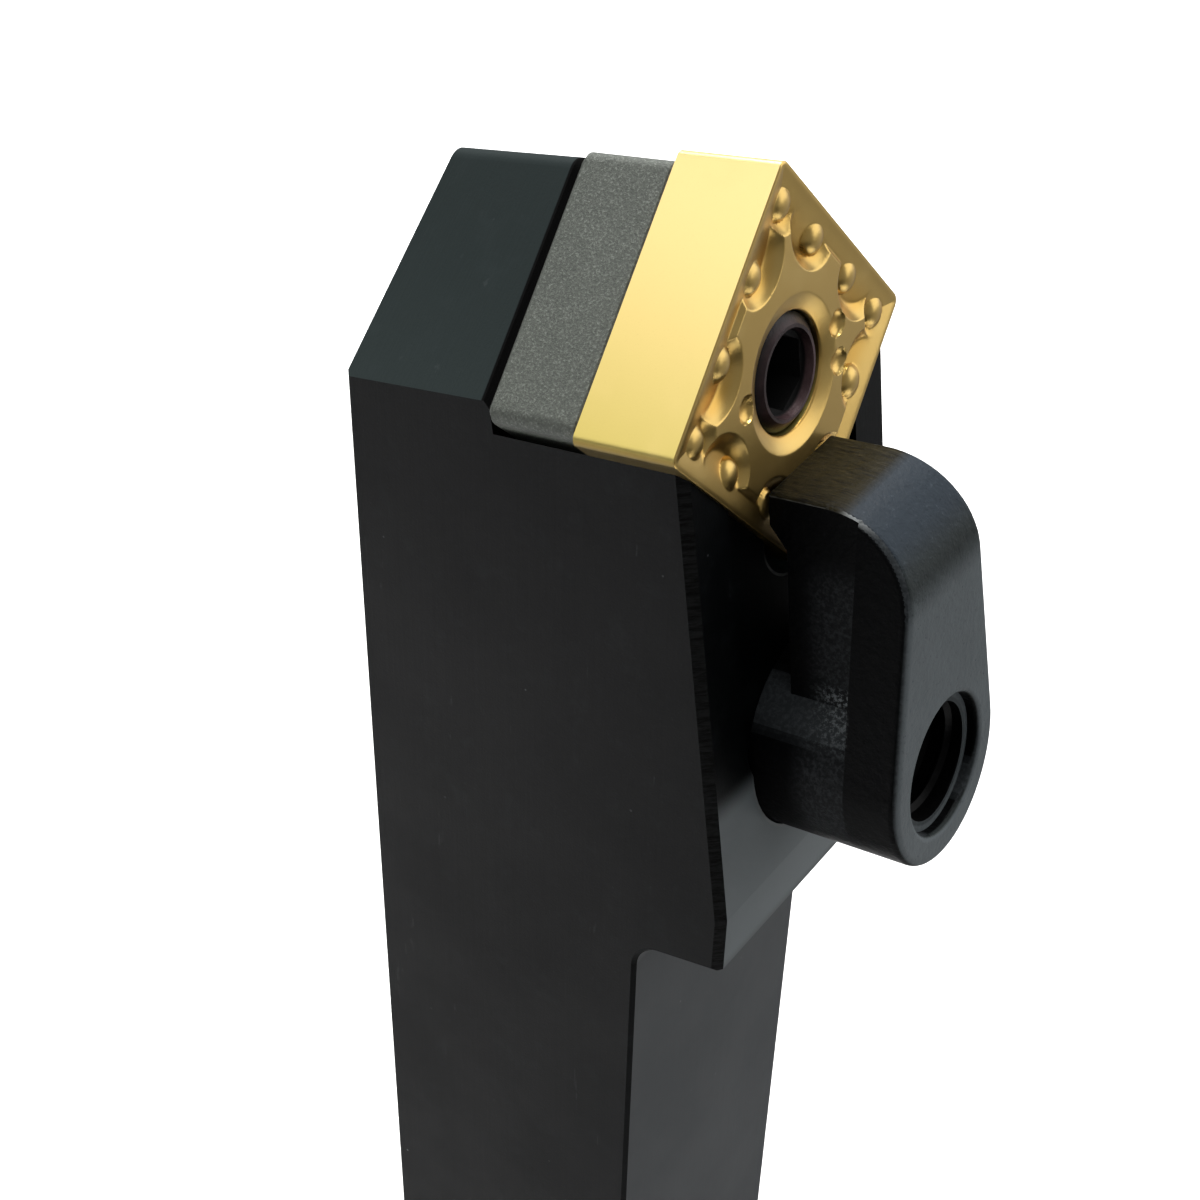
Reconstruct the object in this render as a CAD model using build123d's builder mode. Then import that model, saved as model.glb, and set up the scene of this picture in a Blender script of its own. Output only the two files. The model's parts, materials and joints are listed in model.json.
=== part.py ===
from build123d import *
import os
from math import atan, cos, degrees, radians, sin, sqrt, tan

os.makedirs("parts", exist_ok=True)

# Turning tool holder with a square indexable insert, held by a lock pin and a finger clamp.
# Millimetres. The tool stands on the end face of its shank: +Z runs along the shank to the
# cutting nose, +X is the direction that the insert's rake face looks in, and the origin is
# the middle of the shank's end face.

# Shank and head
overall_length = 100.0      # end face of the shank to the tip of the insert's nose
shank_height = 16.0         # along X
shank_width = 16.0          # along Y, and also the width of the head
nose_height = 16.0          # bottom face of the shank to the tip of the nose
head_height = 20.5          # bottom face of the shank to the level top of the head
head_length = 34.65         # tip of the nose back to the head's rear edge
head_drop = 0.2             # top of the head below the rake face
rear_wall_lean = 13.0       # degrees from square to the shank
rear_foot_round = 1.6       # concave round between the rear wall and the shank
head_edge_chamfer = 0.4     # along both long edges of the head's top
edge_break = 0.2            # broken edges of the shank
end_chamfer = 0.5           # around the shank's end face

# Insert seat. The cutting edges lie 45 degrees to the shank on both sides.
edge_rake = 6.0             # degrees, negative rake and inclination at each cutting edge
flank_relief = 7.0          # degrees that the holder's front flanks lean back below the seat
flank_setback = 0.15        # front flank behind the shim's lower edge
nose_edge_round = 0.8       # round where the two front flanks meet
seat_edge_break = 0.25      # broken edge between the pocket's floor and the front flanks
corner_relief_radius = 2.3  # round relief in the pocket's inner corner
corner_relief_reach = 0.15  # how far that relief passes the insert's sharp corner

# Insert
insert_side = 12.7
insert_thickness = 4.76
insert_corner_round = 0.4
insert_hole = 5.16
insert_rim = 6.7            # outer diameter of the flare around the hole
insert_rim_depth = 0.2
land_width = 0.3            # flat strip behind each cutting edge
breaker_depth = 0.3         # chip breaker's floor below the cutting edges
breaker_width = 0.9         # from the land to the central plateau
knob_inset = 1.15           # from the insert's edge to the middle of a knob
corner_knob_inset = 1.3     # the same for the knob in each corner
knob_pitch = 3.6            # between the two knobs beside each edge
knob_radius = 0.65
knob_rise = 0.22            # above the chip breaker's floor
scallop_inset = 1.15        # from the insert's edge to the middle of a hollow around a knob
scallop_along = 2.45        # from the middle of the edge to that hollow's middle
scallop_radius = 1.68
corner_scallop_radius = 1.45
mark_reach = 3.62           # centre of the insert to its small index dots
mark_pitch = 1.7
mark_radius = 0.55
mark_depth = 0.2

# Shim under the insert
shim_side = 12.1
shim_thickness = 4.76
shim_corner_round = 0.6
shim_edge_chamfer = 0.3

# Lock pin through insert and shim into the holder
pin_clearance = 0.08        # radial, of the head in the insert and of the collar in the shim
pin_head_drop = 0.2         # top of the pin below the rake face
pin_ridge_diameter = 4.1    # highest ring of its head, between the dish and the outer slope
pin_ridge_width = 0.15
pin_head_fall = 0.35        # outer slope of the head, from that ring down to its side
pin_dish_depth = 0.45       # dish around the socket's mouth
pin_collar_diameter = 6.2
pin_collar_top = 0.5        # collar below the top of the shim
pin_collar_length = 2.2
shim_hole = 5.4             # below the shoulder that the collar presses on
pin_thread = 4.5            # pitch diameter of its M5 thread
pin_thread_length = 5.2     # below the pocket's floor
pin_hole_spare = 1.0        # hole deeper than the pin
pin_socket = 3.0            # across the flats
pin_socket_depth = 2.6
pin_mouth_spare = 0.05      # radial, from the socket's corners to the foot of the dish

# Finger clamp
clamp_reach = 17.2          # centre of the insert back to the axis of the clamp's screw
clamp_tip_offset = 4.1      # centre of the insert back to the middle of the clamp's front face
clamp_front_skew = 4.0      # degrees that the ground front face stands out of square
clamp_rise = 6.7            # top of the clamp above the rake face
clamp_tip_near = 2.45       # from the middle to the tip's side at -Y
clamp_tip_far = 2.95        # and to its side at +Y
clamp_front_round = 4.1     # from the front face over to the top
clamp_flange = 2.55         # thickness of the wide upper part
clamp_web_width = 6.1       # of the narrower web under it, at the screw's axis
clamp_foot_length = 1.4     # what rests on the insert
clamp_underside = 0.8       # underside behind the foot, above the rake face
clamp_underside_run = 1.0   # slope between foot and underside
clamp_cast_round = 0.4      # round of the cast edges along its top and front
boss_diameter = 9.3         # round rear end of the clamp and boss below it
boss_length = 4.2           # of the boss below the top of the head
boss_bore_spare = 0.9       # bore deeper than the boss
boss_clearance = 0.08       # radial
relief_slot_width = 10.4    # shallow slot in the head's top, in front of the boss
relief_slot_depth = 0.3
relief_slot_end = 2.3       # axis of the screw forward to the centre of the slot's round end

# Clamp screw, threaded right-handed in the holder and left-handed in the clamp
screw_thread = 5.35         # pitch diameter of M6
screw_clearance = 0.05      # radial, in both threads
screw_top_drop = 3.0        # upper end below the clamp's top
screw_grip = 8.5            # in the holder, below the boss bore
screw_hole_spare = 1.2
screw_neck = 4.4            # undercut between its two threads
screw_neck_length = 1.2
screw_end_chamfer = 0.5
screw_socket = 3.0
screw_socket_depth = 2.5
clamp_hole_counterbore = 6.4  # opening above its thread
clamp_hole_counterbore_depth = 0.6
clamp_hole_round = 0.3

# Frame of the seat: its origin is the middle of the insert's rake face, x runs back along
# the seat, y is the tool's own Y and z leaves the rake face.
seat_tilt = degrees(atan(sqrt(2) * tan(radians(edge_rake))))
tilt_sin = sin(radians(seat_tilt))
tilt_cos = cos(radians(seat_tilt))
bottom_x = -shank_height / 2
shank_top_x = shank_height / 2
nose_x = bottom_x + nose_height
head_top_x = bottom_x + head_height
insert_half_diagonal = insert_side / sqrt(2)
nose_reach = insert_half_diagonal - insert_corner_round * (sqrt(2) - 1)
rake_plane = Plane(
    origin=(nose_x + nose_reach * tilt_sin, 0, overall_length - nose_reach * tilt_cos),
    x_dir=(tilt_sin, 0, -tilt_cos),
    z_dir=(tilt_cos, 0, tilt_sin),
)
floor_depth = insert_thickness + shim_thickness
floor_plane = rake_plane.offset(-floor_depth)
head_top_plane = rake_plane.offset(-head_drop)
boss_bore_depth = boss_length + boss_bore_spare
screw_bottom = -head_drop - boss_bore_depth - screw_grip
screw_top = clamp_rise - screw_top_drop

# Holder: shank and head in one piece
rear_edge_z = overall_length - head_length
rear_foot_z = rear_edge_z - (head_height - shank_height) * tan(radians(rear_wall_lean))
foot_round = min(rear_foot_round, 0.6 * (head_height - shank_height))
side_outline = [
    (bottom_x, 0),
    (shank_top_x, 0),
    (shank_top_x, rear_foot_z),
    (head_top_x, rear_edge_z),
    (head_top_x, overall_length),
    (bottom_x, overall_length),
]
flank_corner = floor_plane.from_local_coords((-shim_side / sqrt(2), 0, 0))
pocket_reach = shank_width
half_width = shank_width / 2
relief_centre = insert_half_diagonal + corner_relief_reach - corner_relief_radius

with BuildPart() as holder_body:
    with BuildSketch(Plane.XZ):
        with BuildLine():
            Polyline(*side_outline, close=True)
        make_face()
    extrude(amount=half_width, both=True)
    foot_edge = holder_body.edges().filter_by(Axis.Y).sort_by_distance((shank_top_x, 0, rear_foot_z))[0]
    fillet(foot_edge, radius=foot_round)
    end_edges = holder_body.faces().sort_by(Axis.Z)[0].edges()
    chamfer(end_edges, length=end_chamfer)
    # Top of the head, parallel to the rake face
    split(bisect_by=head_top_plane, keep=Keep.BOTTOM)
    # Front flanks below the cutting edges
    for side in (-1, 1):
        outward = Vector(0, side, 1).normalized()
        flank_normal = outward * cos(radians(flank_relief)) - Vector(1, 0, 0) * sin(radians(flank_relief))
        flank_plane = Plane(origin=flank_corner - outward * flank_setback, z_dir=flank_normal)
        split(bisect_by=flank_plane, keep=Keep.BOTTOM)
    nose_edge = holder_body.edges().sort_by_distance((0, 0, overall_length))[0]
    fillet(nose_edge, radius=nose_edge_round)
    # Milled edges along both sides of the head's top
    top_faces = holder_body.faces().filter_by(
        lambda f: f.normal_at().X > cos(radians(2 * seat_tilt)) and f.center().Z > rear_foot_z
    )
    top_edges = top_faces.edges().filter_by(lambda e: abs(abs(e.center().Y) - half_width) < 0.01)
    chamfer(top_edges, length=head_edge_chamfer)
    # Pocket for shim and insert, open towards both cutting edges
    with BuildSketch(floor_plane):
        with BuildLine():
            Polyline(
                (insert_half_diagonal, 0),
                (insert_half_diagonal - pocket_reach, pocket_reach),
                (-pocket_reach, pocket_reach),
                (-pocket_reach, -pocket_reach),
                (insert_half_diagonal - pocket_reach, -pocket_reach),
                close=True,
            )
        make_face()
        with Locations((relief_centre, 0)):
            Circle(corner_relief_radius)
    extrude(amount=pocket_reach, mode=Mode.SUBTRACT)
    # Threaded hole for the lock pin
    with BuildSketch(floor_plane):
        Circle(pin_thread / 2 + screw_clearance)
    extrude(amount=-(pin_thread_length + pin_hole_spare), mode=Mode.SUBTRACT)
    # Shallow slot, bore for the clamp's boss, and the threaded hole under it
    with BuildSketch(head_top_plane):
        with Locations((clamp_reach - relief_slot_end, 0)):
            Circle(relief_slot_width / 2)
            Rectangle(clamp_reach, relief_slot_width, align=(Align.MAX, Align.CENTER))
    extrude(amount=-relief_slot_depth, mode=Mode.SUBTRACT)
    with BuildSketch(head_top_plane):
        with Locations((clamp_reach, 0)):
            Circle(boss_diameter / 2 + boss_clearance)
    extrude(amount=-boss_bore_depth, mode=Mode.SUBTRACT)
    with BuildSketch(head_top_plane):
        with Locations((clamp_reach, 0)):
            Circle(screw_thread / 2 + screw_clearance)
    extrude(amount=-(boss_bore_depth + screw_grip + screw_hole_spare), mode=Mode.SUBTRACT)
    # Broken edges of the shank and of the pocket's floor
    shank_edges = holder_body.edges().filter_by(Axis.Z).filter_by(
        lambda e: abs(abs(e.center().X) - shank_top_x) < 0.01 and abs(abs(e.center().Y) - half_width) < 0.01
    )
    chamfer(shank_edges, length=edge_break)
    seat_edges = holder_body.edges().filter_by(
        lambda e: abs(floor_plane.to_local_coords(e.center()).Z) < 0.01
        and floor_plane.to_local_coords(e.center()).X < -pin_thread
    )
    chamfer(seat_edges, length=seat_edge_break)
holder_body.part.label = "holder_body"
export_step(holder_body.part, "parts/holder_body.step")

# Insert: the same chip breaker and hole flare on both faces, so it can be turned over
square_plane = Plane(
    origin=rake_plane.origin,
    x_dir=rake_plane.x_dir + rake_plane.y_dir,
    z_dir=rake_plane.z_dir,
)
underside_plane = Plane(
    origin=rake_plane.from_local_coords((0, 0, -insert_thickness)),
    x_dir=square_plane.x_dir,
    z_dir=-rake_plane.z_dir,
)
section_plane = Plane(origin=rake_plane.origin, x_dir=rake_plane.x_dir, z_dir=(0, -1, 0))
insert_axis = Axis(rake_plane.origin, rake_plane.z_dir)
groove_side = insert_side - 2 * land_width
plateau_side = groove_side - 2 * breaker_width
corner_knob = insert_side / 2 - corner_knob_inset
edge_knob = insert_side / 2 - knob_inset
half_pitch = knob_pitch / 2
scallop_reach = insert_side / 2 - scallop_inset
knob_places = []
scallop_places = []
corner_scallop_places = []
for across in (-1, 1):
    for along in (-1, 1):
        knob_places.append((across * corner_knob, along * corner_knob))
        knob_places.append((across * edge_knob, along * half_pitch))
        knob_places.append((across * half_pitch, along * edge_knob))
        corner_scallop_places.append((across * scallop_reach, along * scallop_reach))
        scallop_places.append((across * scallop_reach, along * scallop_along))
        scallop_places.append((across * scallop_along, along * scallop_reach))
knob_ball = (knob_radius**2 + knob_rise**2) / (2 * knob_rise)
mark_ball = (mark_radius**2 + mark_depth**2) / (2 * mark_depth)
hole_radius = insert_hole / 2
rim_radius = insert_rim / 2
hole_outline = [
    (0, 0),
    (rim_radius, 0),
    (hole_radius, -insert_rim_depth),
    (hole_radius, insert_rim_depth - insert_thickness),
    (rim_radius, -insert_thickness),
    (0, -insert_thickness),
]

with BuildPart() as insert:
    with BuildSketch(square_plane):
        RectangleRounded(insert_side, insert_side, insert_corner_round)
    extrude(amount=-insert_thickness)
    for face_plane in (square_plane, underside_plane):
        with BuildSketch(face_plane):
            RectangleRounded(groove_side, groove_side, insert_corner_round)
            Rectangle(plateau_side, plateau_side, mode=Mode.SUBTRACT)
            with Locations(*scallop_places):
                Circle(scallop_radius)
            with Locations(*corner_scallop_places):
                Circle(corner_scallop_radius)
            RectangleRounded(groove_side, groove_side, insert_corner_round, mode=Mode.INTERSECT)
        extrude(amount=-breaker_depth, mode=Mode.SUBTRACT)
        with Locations(face_plane.offset(knob_rise - breaker_depth - knob_ball)):
            with Locations(*knob_places):
                Sphere(knob_ball)
    with BuildSketch(section_plane):
        with BuildLine():
            Polyline(*hole_outline, close=True)
        make_face()
    revolve(axis=insert_axis, mode=Mode.SUBTRACT)
    # Index marks beside the hole
    with Locations(rake_plane.offset(mark_ball - mark_depth)):
        with Locations((mark_pitch / 2, mark_reach), (-mark_pitch / 2, mark_reach), (0, -mark_reach)):
            Sphere(mark_ball, mode=Mode.SUBTRACT)
insert.part.label = "insert"
export_step(insert.part, "parts/insert.step")

# Shim: its hole has a shoulder that the lock pin's collar presses down on
shim_top = -insert_thickness
shoulder = shim_top - pin_collar_top - pin_collar_length
collar_radius = pin_collar_diameter / 2

with BuildPart() as shim_seat:
    with BuildSketch(square_plane.offset(-floor_depth)):
        RectangleRounded(shim_side, shim_side, shim_corner_round)
    extrude(amount=shim_thickness)
    layers = shim_seat.faces().sort_by(insert_axis)
    chamfer(layers[0].edges() + layers[-1].edges(), length=shim_edge_chamfer)
    with BuildSketch(rake_plane.offset(shoulder)):
        Circle(collar_radius + pin_clearance)
    extrude(amount=floor_depth, mode=Mode.SUBTRACT)
    with BuildSketch(floor_plane):
        Circle(shim_hole / 2)
    extrude(amount=floor_depth, mode=Mode.SUBTRACT)
shim_seat.part.label = "shim_seat"
export_step(shim_seat.part, "parts/shim_seat.step")

# Lock pin: head in the insert, collar on the shim's shoulder, thread in the holder
pin_top = -pin_head_drop
pin_bottom = -floor_depth - pin_thread_length
pin_head_radius = hole_radius - pin_clearance
pin_thread_radius = pin_thread / 2
pin_ridge_radius = pin_ridge_diameter / 2
pin_mouth_radius = pin_socket / sqrt(3) + pin_mouth_spare
pin_outline = [
    (0, pin_top),
    (pin_ridge_radius, pin_top),
    (pin_head_radius, pin_top - pin_head_fall),
    (pin_head_radius, shim_top - pin_collar_top),
    (collar_radius, shim_top - pin_collar_top),
    (collar_radius, shoulder),
    (pin_thread_radius, shoulder),
    (pin_thread_radius, pin_bottom),
    (0, pin_bottom),
]

with BuildPart() as lock_pin:
    with BuildSketch(section_plane):
        with BuildLine():
            Polyline(*pin_outline, close=True)
        make_face()
    revolve(axis=insert_axis)
    with BuildSketch(rake_plane.offset(pin_top)):
        RegularPolygon(pin_socket / 2, 6, major_radius=False)
    extrude(amount=-pin_socket_depth, mode=Mode.SUBTRACT)
    with BuildSketch(section_plane):
        with BuildLine():
            Polyline(
                (0, pin_top),
                (pin_ridge_radius - pin_ridge_width, pin_top),
                (pin_mouth_radius, pin_top - pin_dish_depth),
                (0, pin_top - pin_dish_depth),
                close=True,
            )
        make_face()
    revolve(axis=insert_axis, mode=Mode.SUBTRACT)
lock_pin.part.label = "lock_pin"
export_step(lock_pin.part, "parts/lock_pin.step")

# Clamp: wide flange over a narrower web, a foot on the insert and a boss in the holder's bore
screw_axis = Axis(rake_plane.from_local_coords((clamp_reach, 0, 0)), rake_plane.z_dir)
skew_sin = sin(radians(clamp_front_skew))
skew_cos = cos(radians(clamp_front_skew))
tip_plane = Plane(
    origin=rake_plane.from_local_coords((clamp_tip_offset, 0, 0)),
    x_dir=rake_plane.x_dir * skew_cos + rake_plane.y_dir * skew_sin,
    z_dir=rake_plane.x_dir * skew_sin - rake_plane.y_dir * skew_cos,
)
flange_bottom = clamp_rise - clamp_flange
boss_radius = boss_diameter / 2
boss_bottom = -head_drop - boss_length
tip_front = clamp_tip_offset - clamp_tip_far * skew_sin / skew_cos
behind = clamp_reach + boss_diameter
counterbore_radius = clamp_hole_counterbore / 2
clamp_thread_radius = screw_thread / 2 + screw_clearance

with BuildPart() as clamp:
    with BuildSketch(rake_plane):
        with Locations((clamp_reach, 0)):
            Circle(boss_radius)
        with Locations((tip_front, 0)):
            Rectangle(clamp_foot_length, clamp_tip_near, align=(Align.MIN, Align.MAX))
            Rectangle(clamp_foot_length, clamp_tip_far, align=(Align.MIN, Align.MIN))
        make_hull()
    extrude(amount=clamp_rise)
    with BuildSketch(tip_plane):
        with BuildLine():
            Polyline(
                (0, clamp_rise - clamp_front_round),
                (0, 0),
                (clamp_foot_length, 0),
                (clamp_foot_length + clamp_underside_run, clamp_underside),
                (behind, clamp_underside),
                (behind, clamp_rise),
                (clamp_front_round, clamp_rise),
            )
            RadiusArc((clamp_front_round, clamp_rise), (0, clamp_rise - clamp_front_round), -clamp_front_round)
        make_face()
    extrude(amount=boss_diameter, both=True, mode=Mode.INTERSECT)
    # Cast rounds along the top, down over the front and beside it
    top_face = clamp.faces().sort_by(insert_axis)[-1]
    front_face = clamp.faces().filter_by(Plane(tip_plane.origin, z_dir=tip_plane.x_dir)).sort_by(Axis.Z)[-1]
    round_face = clamp.faces().filter_by(GeomType.CYLINDER).sort_by(Axis.Z)[-1]
    outer_edges = top_face.edges() + round_face.edges() + front_face.edges()
    fillet(outer_edges.filter_by(Axis(tip_plane.origin, tip_plane.z_dir), reverse=True), radius=clamp_cast_round)
    # Web narrower than the flange above it
    with BuildSketch(rake_plane):
        for side, tip_half in ((-1, clamp_tip_near), (1, clamp_tip_far)):
            with BuildLine():
                Polyline(
                    (tip_front, side * tip_half),
                    (clamp_reach, side * clamp_web_width / 2),
                    (clamp_reach, side * boss_diameter),
                    (tip_front, side * boss_diameter),
                    close=True,
                )
            make_face()
    extrude(amount=flange_bottom, mode=Mode.SUBTRACT)
    # Boss, thread and the opening above it
    with BuildSketch(rake_plane.offset(boss_bottom)):
        with Locations((clamp_reach, 0)):
            Circle(boss_radius)
    extrude(amount=flange_bottom - boss_bottom)
    with BuildSketch(rake_plane.offset(boss_bottom)):
        with Locations((clamp_reach, 0)):
            Circle(clamp_thread_radius)
    extrude(amount=clamp_rise - boss_bottom, mode=Mode.SUBTRACT)
    with BuildSketch(rake_plane.offset(clamp_rise)):
        with Locations((clamp_reach, 0)):
            Circle(counterbore_radius)
    extrude(amount=-clamp_hole_counterbore_depth, mode=Mode.SUBTRACT)
    opening_edges = clamp.edges().filter_by(GeomType.CIRCLE).filter_by(
        lambda e: abs(e.radius - counterbore_radius) < 0.001
    )
    fillet(opening_edges.sort_by(insert_axis)[-1], radius=clamp_hole_round)
clamp.part.label = "clamp"
export_step(clamp.part, "parts/clamp.step")

# Clamp screw with a hexagon socket at both ends
screw_radius = screw_thread / 2
neck_radius = screw_neck / 2
neck_middle = (boss_bottom - head_drop - boss_bore_depth) / 2
neck_top = neck_middle + screw_neck_length / 2
neck_bottom = neck_middle - screw_neck_length / 2

with BuildPart() as clamp_screw:
    with BuildSketch(section_plane):
        with BuildLine():
            Polyline(
                (clamp_reach, screw_top),
                (clamp_reach + screw_radius - screw_end_chamfer, screw_top),
                (clamp_reach + screw_radius, screw_top - screw_end_chamfer),
                (clamp_reach + screw_radius, neck_top),
                (clamp_reach + neck_radius, neck_top),
                (clamp_reach + neck_radius, neck_bottom),
                (clamp_reach + screw_radius, neck_bottom),
                (clamp_reach + screw_radius, screw_bottom + screw_end_chamfer),
                (clamp_reach + screw_radius - screw_end_chamfer, screw_bottom),
                (clamp_reach, screw_bottom),
                close=True,
            )
        make_face()
    revolve(axis=screw_axis)
    with BuildSketch(rake_plane.offset(screw_top), rake_plane.offset(screw_bottom + screw_socket_depth)):
        with Locations((clamp_reach, 0)):
            RegularPolygon(screw_socket / 2, 6, major_radius=False)
    extrude(amount=-screw_socket_depth, mode=Mode.SUBTRACT)
clamp_screw.part.label = "clamp_screw"
export_step(clamp_screw.part, "parts/clamp_screw.step")
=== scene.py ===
"""Turning tool holder: a square shank, a gold square insert on its shim, a lock pin, a clamp."""

from __future__ import annotations

import json
import logging
import math
from dataclasses import dataclass, field
from enum import Enum
from typing import Any, Optional, Union

import bpy
from mathutils import Matrix, Vector

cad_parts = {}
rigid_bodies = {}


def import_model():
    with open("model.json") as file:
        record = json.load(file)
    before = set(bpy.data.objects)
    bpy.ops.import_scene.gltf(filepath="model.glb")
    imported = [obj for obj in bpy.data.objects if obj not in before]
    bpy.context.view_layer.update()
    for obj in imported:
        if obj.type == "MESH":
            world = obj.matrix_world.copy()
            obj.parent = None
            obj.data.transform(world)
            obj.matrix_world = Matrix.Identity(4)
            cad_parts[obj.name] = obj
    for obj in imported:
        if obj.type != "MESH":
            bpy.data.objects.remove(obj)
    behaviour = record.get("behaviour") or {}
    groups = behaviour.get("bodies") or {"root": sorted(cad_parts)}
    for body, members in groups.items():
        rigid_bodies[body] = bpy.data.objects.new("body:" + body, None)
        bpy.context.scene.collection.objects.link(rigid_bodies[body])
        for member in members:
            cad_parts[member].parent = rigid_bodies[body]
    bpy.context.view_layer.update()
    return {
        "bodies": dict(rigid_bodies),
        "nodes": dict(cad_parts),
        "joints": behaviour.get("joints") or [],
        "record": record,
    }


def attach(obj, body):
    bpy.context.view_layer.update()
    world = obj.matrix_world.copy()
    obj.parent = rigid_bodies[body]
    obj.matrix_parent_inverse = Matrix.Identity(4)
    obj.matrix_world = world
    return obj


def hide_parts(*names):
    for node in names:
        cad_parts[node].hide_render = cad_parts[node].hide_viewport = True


log = logging.getLogger("turning_tool_holder")

MM = 0.001
MM_PER_METRE = 1000.0
SCREEN_WHITE = 255.0
MIX_FACTOR, MIX_FIRST, MIX_SECOND, MIX_RESULT = 0, 6, 7, 2

ORIGIN = Vector((0.0, 0.0, 0.0))
TOPWARD = Vector((1.0, 0.0, 0.0))
SIDEWAYS = Vector((0.0, 1.0, 0.0))
NOSEWARD = Vector((0.0, 0.0, 1.0))
HEAD = (0.008, 0.0, 0.085)
BEHIND = (-0.12, 0.28, 0.0)

Triple = tuple[float, float, float]
Colour = Triple
Span = tuple[float, float]
Value = Union["Signal", float]


def tint(red: float, green: float, blue: float) -> Colour:
    """Turns a colour as a screen shows it, 0 to 255, into Blender's linear colour.

    Args:
        red: the red part.
        green: the green part.
        blue: the blue part.

    Returns:
        The linear colour.
    """
    knee, slope, offset, power = 0.04045, 12.92, 0.055, 2.4
    parts = []
    for part in (red, green, blue):
        share = part / SCREEN_WHITE
        curved = ((share + offset) / (1.0 + offset)) ** power
        parts.append(share / slope if share <= knee else curved)
    return (parts[0], parts[1], parts[2])


@dataclass(frozen=True)
class Pattern:
    """A soft random pattern: largest spots in millimetres, finer layers, turn and stretch."""

    grain: float
    detail: float
    rough: float
    turn: Triple = (0.0, 0.0, 0.0)
    scale: Optional[Triple] = None


@dataclass(frozen=True)
class Coat:
    """A colour that covers what is below it, and the largest share that it takes."""

    colour: Colour
    share: float


class Surface(Enum):
    """The names of the object's finishes."""

    HOLDER = "black_oxidised_holder"
    SHIM = "bare_carbide_shim"
    INSERT = "gold_coated_insert"
    PIN = "dark_oxidised_pin"
    CLAMP = "cast_black_clamp"
    SCREW = "black_oxidised_screw"
    FLOOR = "pale_floor"
    CARD = "dark_card"


class Signal:
    """One number over a surface, on which Python's operators add Math nodes."""

    def __init__(self, recipe: "Recipe", socket: bpy.types.NodeSocket) -> None:
        """Wraps a socket.

        Args:
            recipe: the recipe that the socket's node is in.
            socket: the output that carries the number.
        """
        self.recipe = recipe
        self.socket = socket

    def _maths(self, operation: str, *values: Value, clamp: bool = False) -> "Signal":
        """Adds one Math node.

        Args:
            operation: the Math node's operation.
            values: its inputs, in order.
            clamp: whether its result stays between 0 and 1.

        Returns:
            The result.
        """
        settings = {"operation": operation, "use_clamp": clamp}
        return self.recipe.signal("ShaderNodeMath", settings, dict(enumerate(values)))

    def __add__(self, other: Value) -> "Signal":
        """Adds a number."""
        return self._maths("ADD", self, other)

    __radd__ = __add__

    def __sub__(self, other: Value) -> "Signal":
        """Takes a number away."""
        return self._maths("SUBTRACT", self, other)

    def __rsub__(self, other: Value) -> "Signal":
        """Takes this away from a number."""
        return self._maths("SUBTRACT", other, self)

    def __mul__(self, other: Value) -> "Signal":
        """Multiplies by a number."""
        return self._maths("MULTIPLY", self, other)

    __rmul__ = __mul__

    def __pow__(self, exponent: Value) -> "Signal":
        """Raises to a power."""
        return self._maths("POWER", self, exponent)

    def size(self) -> "Signal":
        """Returns the number without its sign."""
        return self._maths("ABSOLUTE", self)

    def at_most(self, other: Value) -> "Signal":
        """Returns the smaller of two numbers."""
        return self._maths("MINIMUM", self, other)

    def rise(self, low: float, high: float) -> "Signal":
        """Goes smoothly from 0 to 1, or from 1 to 0 where the higher end is given first.

        Args:
            low: where the result is 0.
            high: where it is 1.

        Returns:
            The result.
        """
        bottom, top = 0.0, 1.0
        if low > high:
            low, high, bottom, top = high, low, top, bottom
        ends = {"From Min": low, "From Max": high, "To Min": bottom, "To Max": top}
        settings = {"interpolation_type": "SMOOTHSTEP"}
        return self.recipe.signal("ShaderNodeMapRange", settings, {"Value": self, **ends})


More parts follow.
